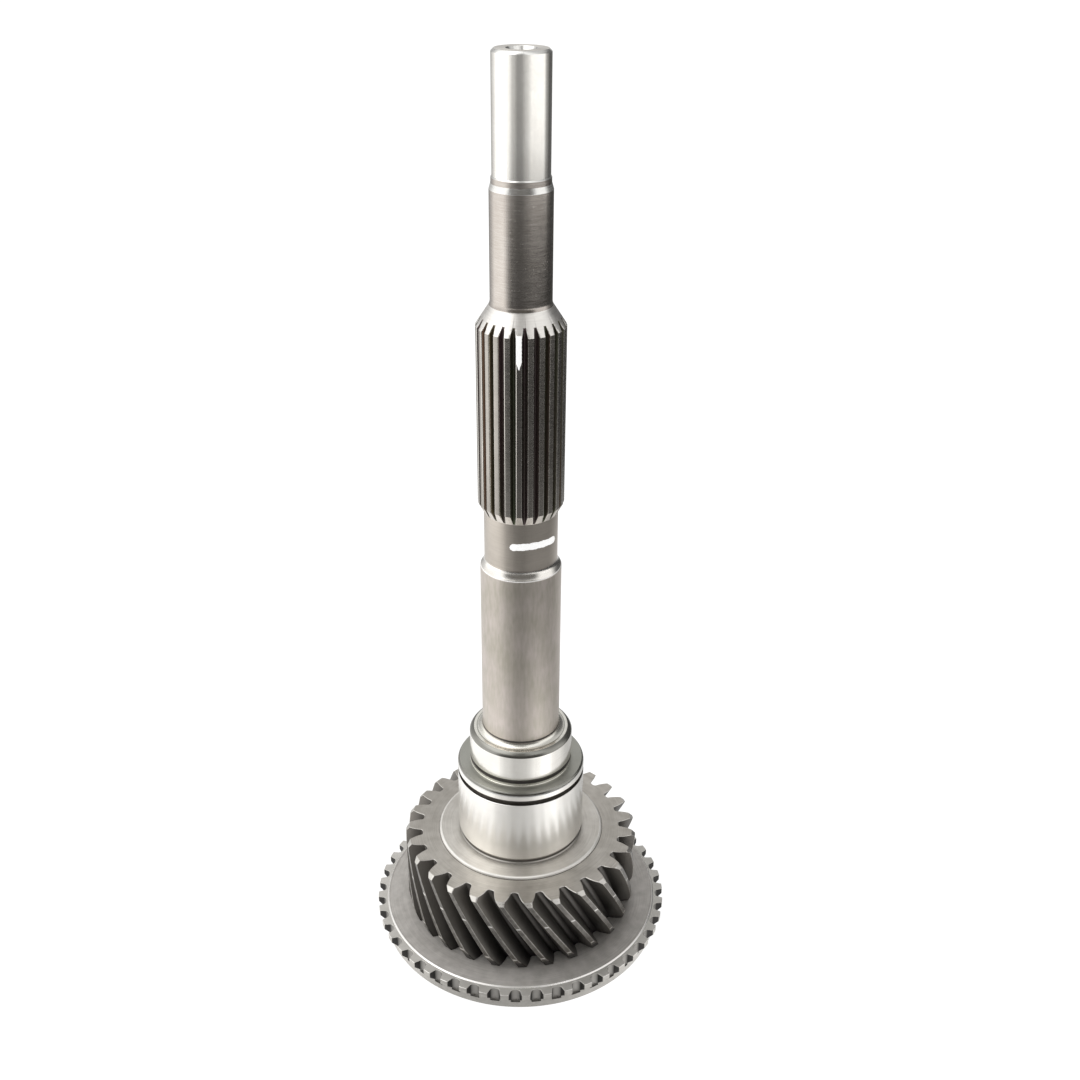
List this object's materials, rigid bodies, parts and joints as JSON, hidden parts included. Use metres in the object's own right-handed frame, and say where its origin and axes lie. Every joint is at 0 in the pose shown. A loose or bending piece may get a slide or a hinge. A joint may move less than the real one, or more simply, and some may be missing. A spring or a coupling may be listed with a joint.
{
  "type": "transmission input shaft",
  "caption": "Gearbox input shaft with pilot journal, clutch spline, bearing seat, helical gear and a clutch ring with dog teeth pressed on its hub.",
  "frame": {"origin": "on the shaft's axis, in the plane of the clutch ring's lower end face", "axes": "+Z along the shaft's axis, from the clutch ring towards the pilot end"},
  "size_m": [0.0988, 0.0988, 0.284],
  "materials": {
    "shaft_steel": "case-hardened steel, satin with ground journals",
    "ring_steel": "case-hardened steel, matte machined"
  },
  "bodies": {
    "root": {"input_shaft": "shaft_steel", "clutch_ring": "ring_steel"}
  },
  "joints": []
}
